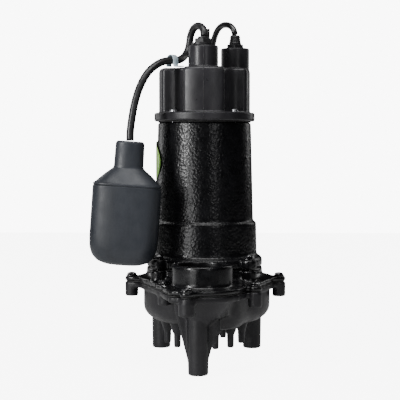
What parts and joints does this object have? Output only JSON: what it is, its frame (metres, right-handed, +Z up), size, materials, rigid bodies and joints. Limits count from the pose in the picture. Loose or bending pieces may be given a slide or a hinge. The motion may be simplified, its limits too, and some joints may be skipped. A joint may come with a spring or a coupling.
{
  "type": "submersible sump pump",
  "caption": "Upright submersible sump pump: finned-pocket cap, motor barrel, volute with upward discharge and legs, float switch tethered on a cord, coiled power lead.",
  "frame": {"origin": "middle of the footprint of the pump and its float, the loose power cord left out, at the soles of the feet", "axes": "+Z up along the shaft, -Y towards the discharge, +X to the right of a person facing the discharge"},
  "size_m": [0.245, 0.5078, 0.4385],
  "materials": {
    "gloss_black_iron": "thick glossy black enamel over cast iron, hammered orange-peel grain",
    "satin_black_iron": "satin charcoal-black coating over sand-cast iron",
    "cap_plastic": "satin dark grey moulded engineering plastic",
    "float_plastic": "satin slate-grey moulded polypropylene",
    "cord_rubber": "black rubber jacket with a soft sheen",
    "power_cord_jacket": "glossy black cord jacket",
    "clear_nylon": "milky translucent nylon",
    "label_green": "printed vinyl plate, plain green, no lettering",
    "gasket_rubber": "matt nitrile gasket",
    "zinc_steel": "zinc-plated steel",
    "ground_steel": "ground bearing and shaft steel",
    "lamination": "stacked electrical steel laminations",
    "copper": "enamelled copper windings, lacquered",
    "brass": "bright brass contact blades",
    "ceramic": "polished ceramic seal seat",
    "white_plastic": "plain off-white moulded plastic"
  },
  "bodies": {
    "pump_body": {"volute_base": "satin_black_iron", "volute_gasket": "gasket_rubber", "volute_cover": "gloss_black_iron", "housing_gasket": "gasket_rubber", "motor_housing": "gloss_black_iron", "label": "label_green", "cap_gasket": "gasket_rubber", "top_cap": "cap_plastic", "float_gland_nut": "cap_plastic", "float_gland_relief": "cap_plastic", "power_gland_flange": "cap_plastic", "power_gland_nut": "cap_plastic", "seal_stationary_seat": "ceramic", "lower_bearing_outer": "ground_steel", "upper_bearing_outer": "ground_steel", "upper_bearing_carrier": "satin_black_iron", "stator_core": "lamination", "stator_winding_lower": "copper", "stator_winding_upper": "copper", "capacitor": "white_plastic", "float_cord_upper": "cord_rubber", "cord_clip": "clear_nylon", "power_cord": "power_cord_jacket", "power_cord_coil": "power_cord_jacket", "power_cord_tail": "power_cord_jacket", "coil_tie": "cord_rubber", "plug_body": "cord_rubber", "plug_blade_live": "brass", "plug_blade_neutral": "brass", "plug_ground_pin": "brass", "volute_bolt_1": "gloss_black_iron", "volute_bolt_2": "gloss_black_iron", "volute_bolt_3": "gloss_black_iron", "volute_bolt_4": "gloss_black_iron", "volute_bolt_5": "gloss_black_iron", "volute_bolt_6": "gloss_black_iron", "volute_bolt_7": "gloss_black_iron", "housing_bolt_1": "gloss_black_iron", "housing_bolt_2": "gloss_black_iron", "housing_bolt_3": "gloss_black_iron", "housing_bolt_4": "gloss_black_iron", "cap_screw_1": "zinc_steel", "cap_screw_2": "zinc_steel", "cap_screw_3": "zinc_steel", "cap_screw_4": "zinc_steel"},
    "rotor": {"shaft": "ground_steel", "rotor_core": "lamination", "impeller": "satin_black_iron", "impeller_nut": "zinc_steel", "seal_rotating_face": "gasket_rubber", "seal_spring": "ground_steel", "lower_bearing_inner": "ground_steel", "upper_bearing_inner": "ground_steel"},
    "float": {"float_body": "float_plastic", "float_top": "float_plastic", "float_switch_case": "white_plastic", "float_cord_lower": "cord_rubber"},
    "float_ball": {"float_ball": "ground_steel"}
  },
  "joints": [
    {"name": "rotor_spin", "type": "hinge", "parent": "pump_body", "child": "rotor", "pos_m": [0.0175, 0.039, 0.18], "axis": [0, 0, 1], "continuous": true},
    {"name": "float_swing", "type": "hinge", "parent": "pump_body", "child": "float", "pos_m": [-0.0225, 0.004, 0.383], "axis": [-0.6606, 0.7507, 0], "range_deg": [0, 100]},
    {"name": "ball_roll", "type": "slide", "parent": "float", "child": "float_ball", "axis": [0.0698, 0, 0.9976], "range_m": [0, 0.027]}
  ]
}
